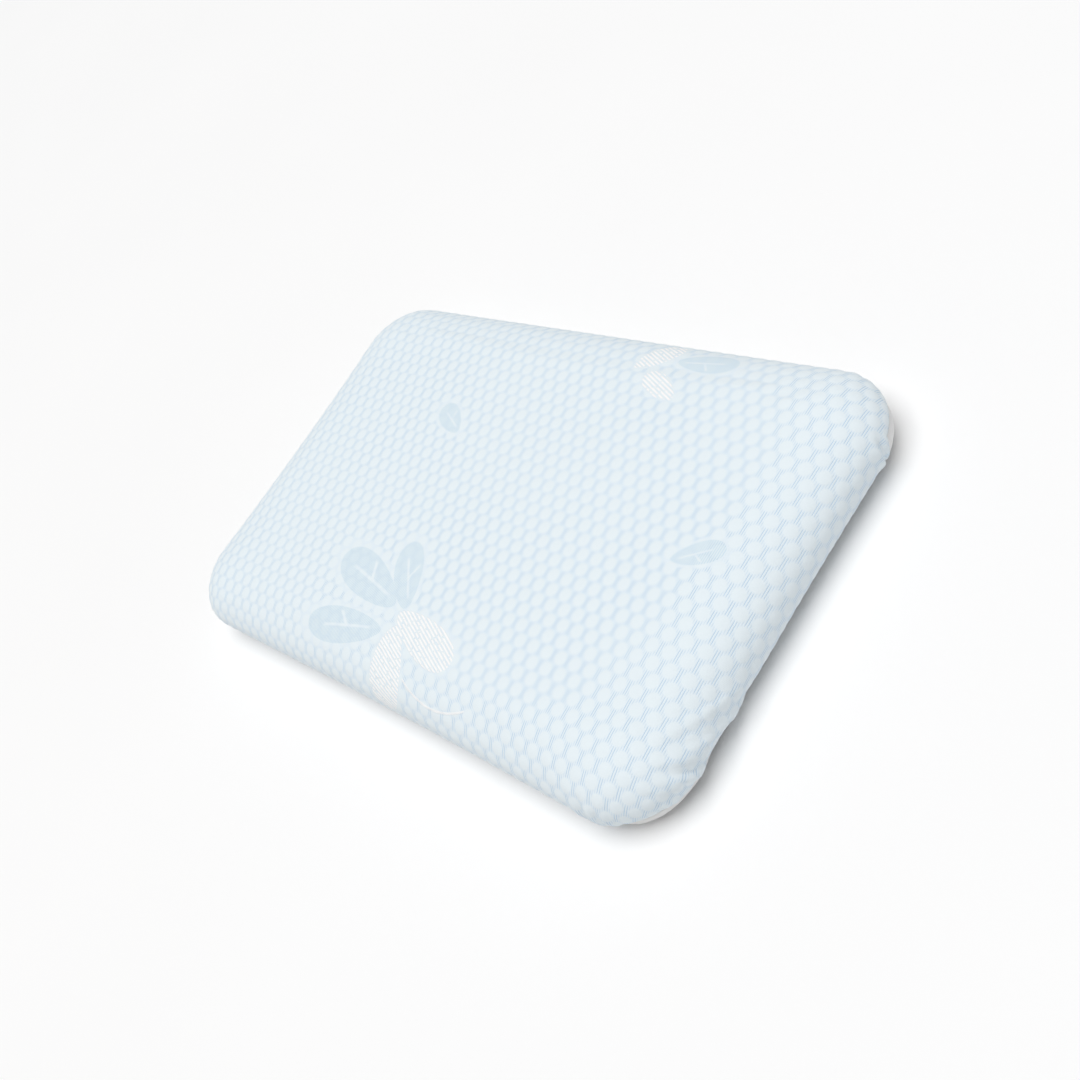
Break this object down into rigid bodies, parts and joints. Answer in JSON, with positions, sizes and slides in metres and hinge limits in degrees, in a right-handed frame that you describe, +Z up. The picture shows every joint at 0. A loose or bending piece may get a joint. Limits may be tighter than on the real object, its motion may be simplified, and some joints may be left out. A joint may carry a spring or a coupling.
{
  "type": "bed pillow",
  "caption": "Slim rectangular memory-foam bed pillow in a two-panel knitted cover with a zip along its rear long side.",
  "frame": {"origin": "centre of the pillow's footprint, on the surface that it lies on", "axes": "+X along the long side, +Y towards the rear long side with the zip, +Z up through the crown"},
  "size_m": [0.4988, 0.2998, 0.05],
  "materials": {
    "jacquard_knit": "pale ice-blue jacquard knit with puffed cells",
    "under_knit": "white knit",
    "liner_tricot": "thin white tricot",
    "overlock_thread": "white polyester thread",
    "memory_foam": "matt open-cell foam",
    "zip_tape": "woven tape",
    "zip_coil": "semi-gloss nylon",
    "zip_metal": "satin nickel",
    "label_satin": "satin ribbon, blank"
  },
  "bodies": {
    "pillow": {"foam_core": "memory_foam", "liner_top": "liner_tricot", "liner_bottom": "liner_tricot", "liner_seam": "overlock_thread", "cover_top": "jacquard_knit", "cover_under": "under_knit", "edge_seam": "overlock_thread", "zip_tape_upper": "zip_tape", "zip_tape_lower": "zip_tape", "zip_coil_upper": "zip_coil", "zip_coil_lower": "zip_coil", "zip_top_stops": "zip_metal", "zip_bottom_stop": "zip_metal", "zip_bartacks": "overlock_thread", "care_label": "label_satin"},
    "slider": {"zip_slider": "zip_metal"},
    "pull_tab": {"zip_pull": "zip_metal"}
  },
  "joints": [
    {"name": "zip_travel", "type": "slide", "parent": "pillow", "child": "slider", "axis": [1, 0, 0], "range_m": [-0.338, 0]},
    {"name": "tab_swing", "type": "hinge", "parent": "slider", "child": "pull_tab", "pos_m": [0.157, 0.14915, 0.021], "axis": [0, 0, 1], "range_deg": [0, 150]}
  ]
}
